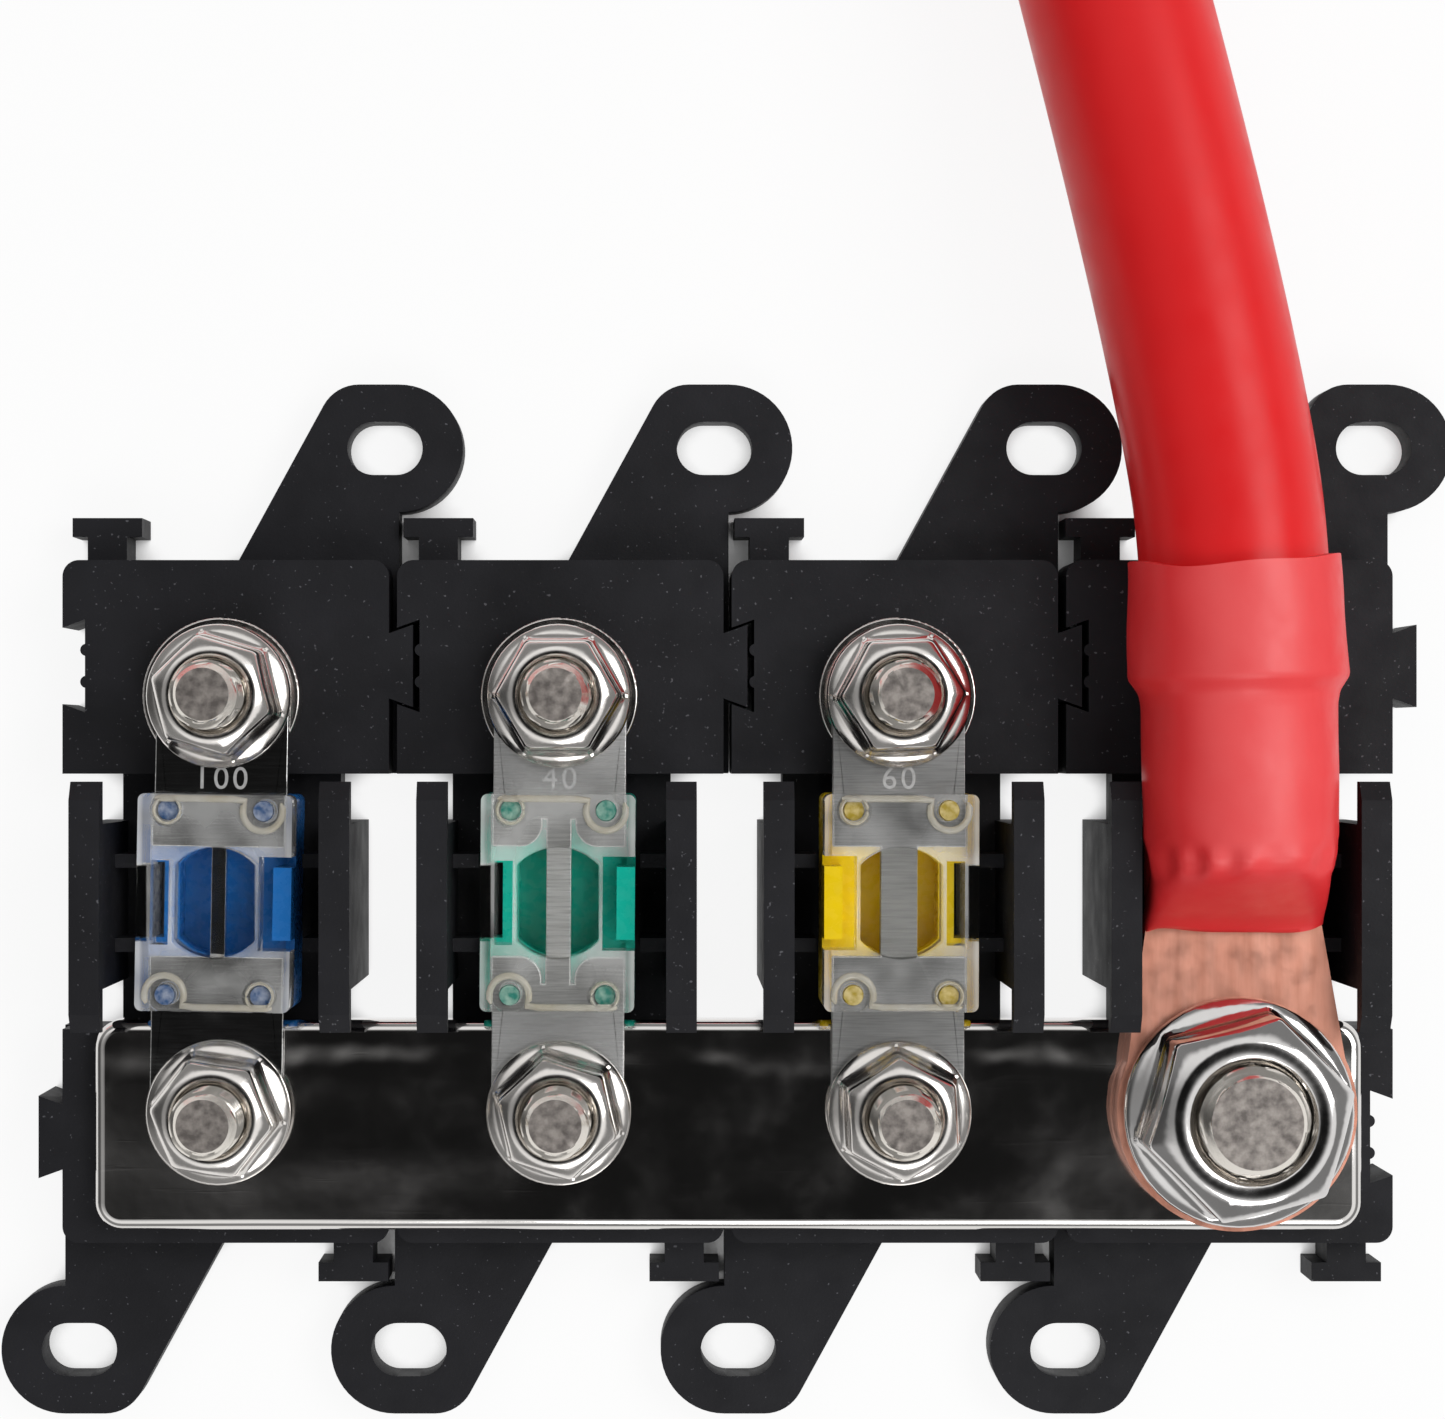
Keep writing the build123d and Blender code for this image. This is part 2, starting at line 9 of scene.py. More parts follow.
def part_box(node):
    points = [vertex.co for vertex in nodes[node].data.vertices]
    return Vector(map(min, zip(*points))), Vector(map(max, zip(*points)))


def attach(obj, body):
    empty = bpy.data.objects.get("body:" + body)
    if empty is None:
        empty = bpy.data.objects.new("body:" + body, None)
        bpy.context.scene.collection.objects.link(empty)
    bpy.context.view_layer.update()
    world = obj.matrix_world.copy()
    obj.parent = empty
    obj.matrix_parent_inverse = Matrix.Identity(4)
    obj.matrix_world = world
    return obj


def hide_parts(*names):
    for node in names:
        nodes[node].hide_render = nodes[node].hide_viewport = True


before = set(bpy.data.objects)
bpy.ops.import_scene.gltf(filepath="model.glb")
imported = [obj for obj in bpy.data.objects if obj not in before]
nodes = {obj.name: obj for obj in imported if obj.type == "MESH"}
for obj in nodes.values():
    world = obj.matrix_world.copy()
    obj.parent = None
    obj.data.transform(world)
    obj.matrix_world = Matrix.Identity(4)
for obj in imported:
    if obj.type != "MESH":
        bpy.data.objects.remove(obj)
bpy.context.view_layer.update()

mm = 0.001
body = "root"

# The photograph's frame and where its camera stood, straight above the row
image_width = 1445
image_height = 1419
camera_place = (-5.24 * mm, 11.82 * mm, 235 * mm)
pixel_focus = 3121
centre_pixel = (656, 740)
sensor_width = 36.0
near_clip = 0.01

# The supply lead: cable route in order from the near lug to the far one, and its real sizes
cable_route = (
    (35.77, 15.64, 15.1),
    (35.62, 23.34, 15.1),
    (34.6, 32.5, 15.0),
    (30.7, 51.1, 14.0),
    (23.6, 81.8, 9.6),
    (0.6, 112.4, 7.2),
    (-33.8, 128.5, 6.9),
    (-71.8, 126.5, 7.0),
    (-104.3, 107.0, 8.1),
    (-122.8, 74.9, 8.1),
)
cable_r = 6.6
cable_setback = 0.3
cable_steps = 16
cable_round_steps = 14

# The lugs, in millimetres along their own axis from the hole's middle
lug_turn = radians(1.1)
lug_tube_r = 6.1
lug_mouth = 30.1
palm_thickness = 2.7
palm_start = 13.2
tube_start = 17.6

# A fuse's sizes, measured from its middle, and how far each fuse is turned, in degrees
fuse_offset_y = 0.2
fuse_turns = (-1.0, -0.4, -0.2)
body_half_length = 7.75
chamber_r = 3.95
chamber_half_width = 2.9
slot_x = 4.8
slot_half_length = 2.65
side_band_x = 5.0
pin_x = 3.4
pin_y = 6.6
pin_r = 1.3

# Studs: radius, thread pitch, head across flats and deep, height of the top and radius of its flat end
fuse_stud = {"r": 2.45, "pitch": 0.8, "flats": 8.0, "head": 3.5, "top": 18.4, "end_r": 1.85}
supply_stud = {"r": 3.95, "pitch": 1.25, "flats": 13.0, "head": 3.6, "top": 19.4, "end_r": 3.2}
supply_place = (36.35, -14.75)
stud_y = 15.0
head_recess = 0.2


def middle_x(node_name):
    """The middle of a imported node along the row."""
    low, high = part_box(node_name)
    return (low.x + high.x) / 2 / mm


bar_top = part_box("bus_bar")[1].z / mm
bar_back_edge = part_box("bus_bar")[1].y / mm
link_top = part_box("fuse_1_link")[1].z / mm
cover_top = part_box("fuse_1_cover")[1].z / mm
holder_x = [middle_x(f"holder_{i}") for i in (1, 2, 3, 4)]
holder_pitch = holder_x[1] - holder_x[0]


# Meshes: the angles in degrees past which an edge stays sharp

metal_smooth_angle = 35
nut_smooth_angle = 42
soft_smooth_angle = 60


def show(name, data):
    """A new object in the scene."""
    shown = bpy.data.objects.new(name, data)
    bpy.context.scene.collection.objects.link(shown)
    return shown


def carry(shown, finish, node_name=None):
    """Makes an object ride on the part's body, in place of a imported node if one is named."""
    shown.data.materials.append(materials[finish])
    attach(shown, body)
    if node_name:
        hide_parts(node_name)
    return shown


def piece(name, data, finish, node_name=None):
    """A new object of the part."""
    return carry(show(name, data), finish, node_name)


def mesh_of(name, points, faces, smooth_angle, place=None):
    """A mesh from millimetre points, smooth except across sharp edges, moved to a place if it has one."""
    mesh = bpy.data.meshes.new(name)
    mesh.from_pydata([Vector(p) * mm for p in points], [], faces)
    mesh.validate()
    mesh.shade_smooth()
    mesh.set_sharp_from_angle(angle=radians(smooth_angle))
    if place:
        mesh.transform(Matrix.Scale(mm, 4) @ place @ Matrix.Scale(1 / mm, 4))
    return mesh


def ring_faces(ring_count, around, first=0, closed=False):
    """Quads between rings of points, each ring with the same count."""
    faces = []
    last = ring_count if closed else ring_count - 1
    for ring in range(last):
        here = first + ring * around
        there = first + (ring + 1) % ring_count * around
        for step in range(around):
            beside = (step + 1) % around
            faces.append((here + step, here + beside, there + beside, there + step))
    return faces


def blend(low, high, share):
    """The value between two others."""
    return low + (high - low) * share


def eased(value, low, high):
    """0 below low, 1 above high and a smooth step between."""
    share = min(1, max(0, (value - low) / (high - low)))
    return share * share * (3 - 2 * share)


def profile_value(profile, place):
    """A value read off a profile of (place, value) pairs."""
    for (low, first), (high, second) in zip(profile, profile[1:]):
        if place <= high:
            return blend(first, second, max(0, place - low) / (high - low))
    return profile[-1][1]


# Materials: noise sizes, widths and relief depths are in millimetres


class Graph:
    """Short calls that build a node tree."""

    def __init__(self, tree):
        self.tree = tree

    def add(self, kind, inputs=None, **settings):
        """A node with its settings, and its inputs set or linked."""
        node = self.tree.nodes.new(kind)
        for key, value in settings.items():
            setattr(node, key, value)
        for key, value in (inputs or {}).items():
            if isinstance(value, bpy.types.NodeSocket):
                self.tree.links.new(value, node.inputs[key])
            else:
                node.inputs[key].default_value = value
        return node

    def split(self, place):
        """The three coordinates of a place."""
        return self.add("ShaderNodeSeparateXYZ", {0: place}).outputs

    def span(self, value, low, high, to_low=0.0, to_high=1.0, kind="LINEAR"):
        """A value's range stretched onto another and held there."""
        inputs = {0: value, 1: low, 2: high, 3: to_low, 4: to_high}
        return self.add("ShaderNodeMapRange", inputs, interpolation_type=kind).outputs[0]

    def math(self, operation, *values):
        """A sum or other operation on values."""
        return self.add("ShaderNodeMath", dict(enumerate(values)), operation=operation).outputs[0]

    def opposite(self, value):
        """1 less a value."""
        return self.math("SUBTRACT", 1.0, value)


class Finish(Graph):
    """A principled material and the calls that shape it."""

    def __init__(self, name, color, roughness, sockets=None):
        self.material = bpy.data.materials.new(name)
        self.material.use_nodes = True
        super().__init__(self.material.node_tree)
        self.shader = self.tree.nodes["Principled BSDF"]
        self.shader.inputs["Base Color"].default_value = (*color, 1)
        self.shader.inputs["Roughness"].default_value = roughness
        for socket, value in (sockets or {}).items():
            self.shader.inputs[socket].default_value = value
        self.place = self.add("ShaderNodeTexCoord").outputs["Object"]
        self.normal = None

    def stretched(self, factors):
        """Places with each axis scaled, to draw a pattern out along the others."""
        return self.add("ShaderNodeMapping", {"Vector": self.place, "Scale": factors}).outputs[0]

    def noise(self, size, detail, place=None):
        """Cloudy values from 0 to 1 with features of that size."""
        inputs = {"Vector": place or self.place, "Scale": 1 / (size * mm), "Detail": detail}
        return self.add("ShaderNodeTexNoise", inputs).outputs[0]

    def mixed(self, share, first, second):
        """A colour between two, either of which may be another node's."""
        colors = [c if isinstance(c, bpy.types.NodeSocket) else (*c, 1) for c in (first, second)]
        inputs = {0: share, 6: colors[0], 7: colors[1]}
        return self.add("ShaderNodeMix", inputs, data_type="RGBA").outputs[2]

    def within(self, distance, limit, width=0.1):
        """1 where a distance is under its limit, falling to 0 over a width past it."""
        return self.span(distance, limit * mm, (limit + width) * mm, 1, 0)

    def past(self, distance, limit, width=0.1, level=1.0):
        """0 where a distance is under its limit, rising to a level over a width past it."""
        return self.span(distance, limit * mm, (limit + width) * mm, 0, level)

    def facing_up(self, low, high):
        """1 where the surface faces straight up, falling to 0 as it tilts."""
        normal = self.add("ShaderNodeNewGeometry").outputs["Normal"]
        return self.span(self.split(normal)["Z"], low, high)

    def mixed_shader(self, share, first, second):
        """A shader between two others."""
        inputs = {0: share, 1: first.outputs[0], 2: second.outputs[0]}
        return self.add("ShaderNodeMixShader", inputs)

    def surface(self, shader):
        """Shows this shader instead of the principled one alone."""
        self.tree.links.new(shader.outputs[0], self.tree.nodes["Material Output"].inputs["Surface"])

    def use(self, socket, value):
        """Links a value to the shader."""
        self.tree.links.new(value, self.shader.inputs[socket])

    def bump(self, height, depth):
        """Adds relief of that depth on top of what is there."""
        inputs = {"Height": height, "Distance": depth * mm, "Strength": 1.0}
        if self.normal:
            inputs["Normal"] = self.normal
        self.normal = self.add("ShaderNodeBump", inputs).outputs[0]
        self.use("Normal", self.normal)


def moulding():
    """Black glass-filled nylon with a fine satin grain, dust specks and paler rubbed patches."""
    f = Finish("moulding", (0.007, 0.007, 0.009), 0.52, {"Specular IOR Level": 0.28})
    patches = f.span(f.noise(6, 3), 0.35, 0.7)
    body_color = f.mixed(patches, (0.004, 0.004, 0.006), (0.009, 0.009, 0.012))
    specks = f.span(f.noise(0.3, 1), 0.72, 0.78)
    f.use("Base Color", f.mixed(specks, body_color, (0.09, 0.09, 0.10)))
    f.use("Roughness", f.span(f.noise(2.5, 4), 0.3, 0.7, 0.54, 0.68))
    f.bump(f.noise(0.22, 2), 0.012)
    f.bump(f.noise(3, 2), 0.04)
    return f.material


# The bar's back edge rolls off over a width, deep at the edge, along a line that wavers
roll_off = 4.4
roll_off_wave = 4.0
roll_off_width = 3.4
roll_off_depth = 0.32


def bar_plate():
    """Bright nickel plate on copper: mirror with faint waves, orange peel and fine scratches."""
    f = Finish("bar_plate", (0.72, 0.70, 0.68), 0.05, {"Metallic": 1.0})
    f.use("Roughness", f.span(f.noise(5, 5), 0.4, 0.75, 0.04, 0.17))
    waver = f.math("MULTIPLY", f.noise(10, 2), roll_off_wave * mm)
    wavy = f.math("ADD", f.split(f.place)["Y"], waver)
    start = bar_back_edge - roll_off + 0.5 * roll_off_wave
    rolled = f.span(wavy, start * mm, (start + roll_off_width) * mm, 1, 0, "SMOOTHSTEP")
    f.bump(rolled, roll_off_depth)
    f.bump(f.noise(11, 1, f.stretched((0.5, 1, 1))), 0.4)
    f.bump(f.noise(4, 2), 0.02)
    f.bump(f.noise(1.2, 2), 0.002)
    scratches = f.noise(0.5, 3, f.stretched((0.06, 1, 1)))
    f.bump(f.span(scratches, 0.62, 0.75), 0.0015)
    return f.material


def nut_plate():
    """Bright zinc plate on pressed steel."""
    f = Finish("nut_plate", (0.76, 0.74, 0.70), 0.15, {"Metallic": 1.0})
    f.use("Roughness", f.span(f.noise(1.5, 4), 0.3, 0.7, 0.10, 0.22))
    f.use("Base Color", f.mixed(f.noise(3, 3), (0.80, 0.77, 0.74), (0.68, 0.65, 0.62)))
    f.bump(f.noise(0.9, 3), 0.004)
    return f.material


def stainless():
    """Polished stainless steel, darker than the zinc plate."""
    f = Finish("stainless", (0.58, 0.57, 0.56), 0.14, {"Metallic": 1.0})
    f.use("Roughness", f.span(f.noise(2.2, 4), 0.3, 0.7, 0.05, 0.16))
    f.use("Base Color", f.mixed(f.noise(3, 3), (0.74, 0.73, 0.72), (0.58, 0.56, 0.55)))
    f.bump(f.noise(1.4, 3), 0.006)
    return f.material


def stud_steel():
    """Zinc-plated steel with a warm cast, and nicks in the cropped ends."""
    f = Finish("stud_steel", (0.74, 0.70, 0.64), 0.2, {"Metallic": 1.0})
    cropped_end = f.facing_up(0.95, 0.99)
    dents = f.span(f.noise(0.7, 8), 0.33, 0.67)
    end_color = f.mixed(dents, (0.42, 0.38, 0.35), (0.16, 0.142, 0.132))
    f.use("Base Color", f.mixed(cropped_end, (0.76, 0.72, 0.66), end_color))
    f.use("Metallic", f.span(cropped_end, 0, 1, 1.0, 0.7))
    f.use("Roughness", f.span(cropped_end, 0, 1, 0.2, 0.42))
    f.bump(f.noise(0.5, 4), 0.008)
    return f.material


def link_metal(name, level, roughness, metallic):
    """Tinned copper strip, finely ground along the row."""
    f = Finish(name, (level, level, level), roughness, {"Metallic": metallic})
    grind = f.noise(0.14, 3, f.stretched((0.05, 1, 1)))
    bright = (1.2 * level, 1.2 * level, 1.19 * level)
    dull = (0.72 * level, 0.72 * level, 0.71 * level)
    f.use("Base Color", f.mixed(f.span(grind, 0.33, 0.67), bright, dull))
    f.use("Roughness", f.span(grind, 0.3, 0.7, 0.85 * roughness, 1.15 * roughness))
    f.bump(grind, 0.0015)
    f.bump(f.noise(6, 2), 0.12)
    return f.material


def copper():
    """Bright copper, streaked along the lug, with rubbed spots."""
    f = Finish("copper", (0.80, 0.40, 0.29), 0.38, {"Metallic": 0.8})
    streaks = f.span(f.noise(0.7, 5, f.stretched((1, 0.12, 1))), 0.25, 0.75)
    f.use("Base Color", f.mixed(streaks, (0.85, 0.42, 0.31), (0.66, 0.275, 0.185)))
    f.use("Roughness", f.span(f.noise(1.5, 4), 0.3, 0.7, 0.3, 0.48))
    f.bump(f.noise(0.5, 3), 0.004)
    f.bump(f.noise(2.5, 2), 0.04)
    return f.material


# How far below the cover's top the pins' paler, greyer ends with their painted glints and painted shade
# start, over what height, and how strongly they show
pin_end_depth = 0.9
pin_end_fade = 0.3
pin_end_share = 0.6


def housing(name, color):
    """Glossy tinted nylon; the ends of the pins paler and greyer, mottled with painted glints and painted
    shade.
    """
    f = Finish(name, color, 0.28)
    darker = tuple(0.75 * c for c in color)
    _, y, z = f.split(f.place)
    from_middle = f.math("ABSOLUTE", f.math("ADD", y, -fuse_offset_y * mm))
    at_top = f.past(z, cover_top - pin_end_depth, pin_end_fade, pin_end_share)
    at_pin_end = f.math("MULTIPLY", at_top, f.past(from_middle, pin_y - pin_r))
    # Painted glints and painted shade: light and dark mottles on the pins' greyer ends
    pin_end_glints_and_shade = f.mixed(f.span(f.noise(0.6, 3), 0.35, 0.65), (0.05, 0.05, 0.05), (0.45, 0.43, 0.38))
    f.use("Base Color", f.mixed(at_pin_end, f.mixed(f.noise(2, 3), color, darker), pin_end_glints_and_shade))
    f.use("Roughness", f.span(f.noise(0.8, 3), 0.3, 0.7, 0.2, 0.36))
    f.bump(f.noise(0.5, 2), 0.004)
    return f.material


clear_ior = 1.45
clear_color = (0.97, 0.97, 0.96)
slot_color = (0.93, 0.91, 0.86)
shadow_tint = (0.93, 0.93, 0.92)


def clear_cover():
    """Clear moulded plastic, hazy outside the arc chamber and the slots, the haze partly the plastic's own
    and partly painted reflection; lamps shine through it.
    """
    f = Finish("clear_cover", clear_color, 0.05, {"Transmission Weight": 0.9, "IOR": clear_ior})
    x, y, _ = f.split(f.place)
    half_pitch = holder_pitch / 2 * mm
    across = f.math("WRAP", f.math("ADD", x, half_pitch), half_pitch, -half_pitch)
    along = f.math("ADD", y, -fuse_offset_y * mm)
    radius = f.math("SQRT", f.math("ADD", *(f.math("MULTIPLY", v, v) for v in (across, along))))
    sideways = f.math("ABSOLUTE", across)
    lengthways = f.math("ABSOLUTE", along)
    in_chamber = f.math("MULTIPLY", f.within(radius, chamber_r), f.within(sideways, chamber_half_width))
    in_slot = f.math("MULTIPLY", f.past(sideways, slot_x - 0.1), f.within(lengthways, slot_half_length))
    # The veil: the plastic's own haze and, in its clouds, painted reflection, with more of it along the
    # cover's sides
    haze_clouds_and_painted_reflection = f.span(f.noise(4.5, 2), 0.35, 0.65, 0.08, 0.3)
    veil = f.math("ADD", haze_clouds_and_painted_reflection, f.past(sideways, side_band_x, 0.3, 0.2))
    haze_and_painted_reflection = f.math("MULTIPLY", veil, f.opposite(f.math("MAXIMUM", in_chamber, in_slot)))
    f.use("Transmission Weight", f.opposite(haze_and_painted_reflection))
    f.use("Base Color", f.mixed(in_slot, clear_color, slot_color))
    f.use("Roughness", f.span(f.noise(1.2, 3), 0.3, 0.7, 0.02, 0.09))
    f.bump(f.noise(1.6, 2), 0.006)
    clear = f.add("ShaderNodeBsdfTransparent", {"Color": (*shadow_tint, 1)})
    shadow = f.add("ShaderNodeLightPath").outputs["Is Shadow Ray"]
    f.surface(f.mixed_shader(shadow, f.shader, clear))
    return f.material


def cover_edge_painted_light():
    """The cover's plastic where it is thick, its stray light painted in: a warm, bright, cloudy white for
    highlights and a deeper warm tone for shade.
    """
    f = Finish("cover_edge_painted_light", (0.96, 0.92, 0.80), 0.12, {"Transmission Weight": 0.65, "IOR": clear_ior})
    # Painted highlight and painted shade: noise mixes a bright warm white with a deeper warm tone
    f.use("Base Color", f.mixed(f.noise(1.5, 3), (1.0, 0.99, 0.95), (0.80, 0.72, 0.52)))
    f.bump(f.noise(0.9, 2), 0.01)
    return f.material


def etched():
    """A dull etched mark on a fuse's blade."""
    f = Finish("etched", (0.55, 0.55, 0.55), 0.6, {"Metallic": 0.4})
    f.use("Base Color", f.mixed(f.noise(0.3, 3), (0.62, 0.62, 0.62), (0.40, 0.40, 0.40)))
    f.bump(f.noise(0.15, 2), 0.004)
    return f.material


def cable_red():
    """Half-glossy extruded vinyl with a faint ripple."""
    f = Finish("cable_red", (0.76, 0.014, 0.016), 0.26, {"Specular IOR Level": 0.25})
    f.use("Base Color", f.mixed(f.noise(9, 3), (0.80, 0.016, 0.018), (0.68, 0.010, 0.012)))
    f.use("Roughness", f.span(f.noise(2.5, 4), 0.3, 0.7, 0.32, 0.44))
    f.bump(f.noise(1.2, 3), 0.006)
    return f.material


def sleeve_red():
    """Satin shrink tubing, paler where it faces up as a painted highlight, finely rippled."""
    f = Finish("sleeve_red", (0.80, 0.03, 0.036), 0.42, {"Specular IOR Level": 0.4})
    # Painted highlight: a paler red where the sleeve faces up, over its own deeper red
    painted_top_highlight = f.mixed(f.noise(4, 4), (0.86, 0.12, 0.12), (0.84, 0.07, 0.075))
    deep = f.mixed(f.noise(4, 4), (0.80, 0.032, 0.036), (0.74, 0.022, 0.026))
    f.use("Base Color", f.mixed(f.facing_up(0.7, 1.0), deep, painted_top_highlight))
    f.use("Roughness", f.span(f.noise(1.5, 4), 0.3, 0.7, 0.36, 0.48))
    f.bump(f.noise(0.8, 3), 0.006)
    f.bump(f.noise(2.4, 2), 0.05)
    return f.material


materials = {
    "moulding": moulding(),
    "bar_plate": bar_plate(),
    "nut_plate": nut_plate(),
    "stainless": stainless(),
    "stud_steel": stud_steel(),
    "link_polished": link_metal("link_polished", 0.70, 0.07, 1.0),
    "link_ground": link_metal("link_ground", 0.66, 0.36, 0.85),
    "link_dull": link_metal("link_dull", 0.33, 0.4, 0.85),
    "copper": copper(),
    "blue": housing("housing_blue", (0.014, 0.16, 0.50)),
    "green": housing("housing_green", (0.004, 0.50, 0.37)),
    "yellow": housing("housing_yellow", (1.0, 0.70, 0.004)),
    "clear_cover": clear_cover(),
    "cover_edge_painted_light": cover_edge_painted_light(),
    "etched": etched(),
    "cable_red": cable_red(),
    "sleeve_red": sleeve_red(),
}


# The supply lead


def cable():
    """The cable on the route's own smooth line, and the points of that line."""
    curve = bpy.data.curves.new("supply_cable_red", "CURVE")
    curve.dimensions = "3D"
    curve.resolution_u = cable_steps
    spline = curve.splines.new("NURBS")
    spline.points.add(len(cable_route) - 1)
    for point, place in zip(spline.points, cable_route):
        point.co = (*(Vector(place) * mm), 1)
    spline.order_u = 3
    spline.use_endpoint_u = True
    shown = show("supply_cable_red", curve)
    line = bpy.data.meshes.new_from_object(shown)
    centre = [v.co / mm for v in line.vertices]
    bpy.data.meshes.remove(line)
    curve.bevel_depth = cable_r * mm
    curve.bevel_resolution = cable_round_steps
    curve.use_fill_caps = True
    carry(shown, "cable_red", "supply_cable")
    return shown, centre


supply_cable, cable_line = cable()


def far_lug_frame():
    """Where the far lug lies, from the end of the cable's route."""
    before, end = Vector(cable_route[-2]), Vector(cable_route[-1])
    run = (end - before).xy
    back = run.normalized() * (lug_mouth + cable_setback)
    place = (end.x + back.x, end.y + back.y, end.z - lug_tube_r)
    return Matrix.Translation(place) @ Matrix.Rotation(atan2(run.x, -run.y), 4, "Z")


# A lug's own frame: hole at the origin, palm on z = 0, tube towards +Y
near_lug = Matrix.Translation((*supply_place, bar_top)) @ Matrix.Rotation(lug_turn, 4, "Z")
far_lug = far_lug_frame()

# The shrink sleeve along its lug: half width, thickness over the lug and how square it is
sleeve_start = 13.0
sleeve_end = 39.0
sleeve_rings = 90
sleeve_around = 96
sleeve_mean_r = 7.0
sleeve_half_width = (
    (13.0, 6.42), (15.0, 6.32), (16.8, 6.22), (18.4, 6.5), (19.8, 6.82),
    (29.0, 6.85), (29.9, 7.0), (31.0, 7.72), (39.0, 7.4),
)
sleeve_thick = (
    (13.0, 0.5), (16.4, 0.7), (17.6, 0.95), (19.0, 0.8), (20.0, 0.75),
    (29.0, 0.75), (29.9, 0.9), (31.0, 1.62), (39.0, 1.3),
)
sleeve_power = ((13.0, 4.2), (15.4, 3.0), (17.8, 2.0), (39.0, 2.0))
shoulder_reach = 0.8

# The open ends' wall, as how far in their inner rings lie
cable_end_inset = 0.85
palm_end_inset = 0.3

# Waves round the sleeve as height, count and shift, and ripples as height, count and twist along it
palm_end_waves = ((0.25, 3, 1.0),)
cable_end_waves = ((0.35, 2, 0.8), (0.12, 5, 0.0))
ripples = ((0.04, 3, 0.5), (0.03, 5, -0.8))

# The creases where the sleeve is pinched at the palm's shoulder: how deep, how many and how uneven
crease_depth = 0.2
crease_count = 13
crease_swing = 1.5
crease_swing_count = 3
pinch_rise = (16.6, 17.8)
pinch_fall = (18.4, 19.8)


def cable_offset(place, line):
    """How far the cable's line, seen from the lug, has moved off the lug's axis at one place along it."""
    axis_reach = 3 * lug_tube_r
    for before, after in zip(line, line[1:]):
        low, high = sorted((before.y, after.y))
        if low <= place <= high and hypot(before.x, before.z - lug_tube_r) < axis_reach:
            spot = before.lerp(after, (place - before.y) / (after.y - before.y))
            return spot.x, spot.z - lug_tube_r
    return 0.0, 0.0


def line_from(lug_frame):
    """The cable's line in a lug's own frame, from the lug's end on."""
    to_lug = lug_frame.inverted()
    line = [to_lug @ point for point in cable_line]
    return line[::-1] if line[0].y > line[-1].y + lug_mouth else line


def lug_top(place):
    """The height of the lug's top at one place along it."""
    rise = (place - palm_start) / (tube_start - palm_start)
    return blend(palm_thickness, 2 * lug_tube_r, min(1, max(0, rise)))


def sleeve_section(place, angle, line):
    """A point on the sleeve's outside, across and up."""
    half = profile_value(sleeve_half_width, place)
    thick = profile_value(sleeve_thick, place)
    tops = [lug_top(place + step) for step in (-shoulder_reach, 0, shoulder_reach)]
    top = sum(tops) / len(tops) + thick
    foot = -thick
    power = 2 / profile_value(sleeve_power, place)
    c, s = cos(angle), sin(angle)
    across = abs(c) ** power * (1 if c >= 0 else -1)
    upward = abs(s) ** power * (1 if s >= 0 else -1)
    dx, dz = cable_offset(place, line)
    return dx + half * across, dz + (top + foot) / 2 + (top - foot) / 2 * upward


def waves(angle, rows):
    """The sum of the waves round the sleeve at one angle."""
    return sum(height * sin(count * angle + shift) for height, count, shift in rows)


def sleeve_relief(place, angle):
    """How far the sleeve's surface stands out for its creases and ripples."""
    pinch = eased(place, *pinch_rise) * (1 - eased(place, *pinch_fall))
    swing = crease_swing * sin(crease_swing_count * angle)
    crease = crease_depth * sin(crease_count * angle + swing) * pinch
    return crease + waves(angle, [(height, count, twist * place) for height, count, twist in ripples])


def shrink_sleeve(name, lug_frame, node_name):
    """A shrunk sleeve: flat over the palm, stepped up where the cable starts, wavy at its lips."""
    points = []
    line = line_from(lug_frame)
    rings = [(ring / (sleeve_rings - 1), 0.0) for ring in range(sleeve_rings)]
    rings += [(1.0, cable_end_inset), (0.0, palm_end_inset)]
    for share, inset in rings:
        for step in range(sleeve_around):
            angle = 2 * pi * step / sleeve_around
            start = sleeve_start + waves(angle, palm_end_waves)
            end = sleeve_end + waves(angle, cable_end_waves)
            place = blend(start, end, share)
            x, z = sleeve_section(place, angle, line)
            out = 1 + (sleeve_relief(place, angle) - inset) / sleeve_mean_r
            centre_z = lug_top(place) / 2
            points.append((x * out, place, centre_z + (z - centre_z) * out))
    faces = [tuple(reversed(f)) for f in ring_faces(len(rings), sleeve_around, closed=True)]
    mesh = mesh_of(name, points, faces, soft_smooth_angle, lug_frame)
    return piece(name, mesh, "sleeve_red", node_name)


shrink_sleeve("supply_sleeve_red", near_lug, "supply_sleeve")
far_sleeve = shrink_sleeve("far_sleeve_red", far_lug, "far_sleeve")


# Threaded studs

thread_around = 48
thread_angles = [2 * pi * step / thread_around for step in range(thread_around)]
thread_steps = 8
thread_depth_share = 0.61
thread_flank_slope = 1.25
thread_crest_share = 0.12
thread_below_bar = 3


def head_radius(angle, flats):
    """The radius of a hexagon head at one angle."""
    face_angle = (angle + pi / 6) % (pi / 3) - pi / 6
    return flats / 2 / cos(face_angle)


def thread_radius(angle, z, size):
    """The radius of a cut thread at one angle and height, coned at the stud's end."""
    turn = z / size["pitch"] - angle / (2 * pi)
    flank = abs(2 * (turn - floor(turn)) - 1)
    groove = min(1, max(0, thread_flank_slope * flank - thread_crest_share))
    depth = thread_depth_share * size["pitch"]
    return min(size["r"] - depth * groove, size["end_r"] + (size["top"] - z))


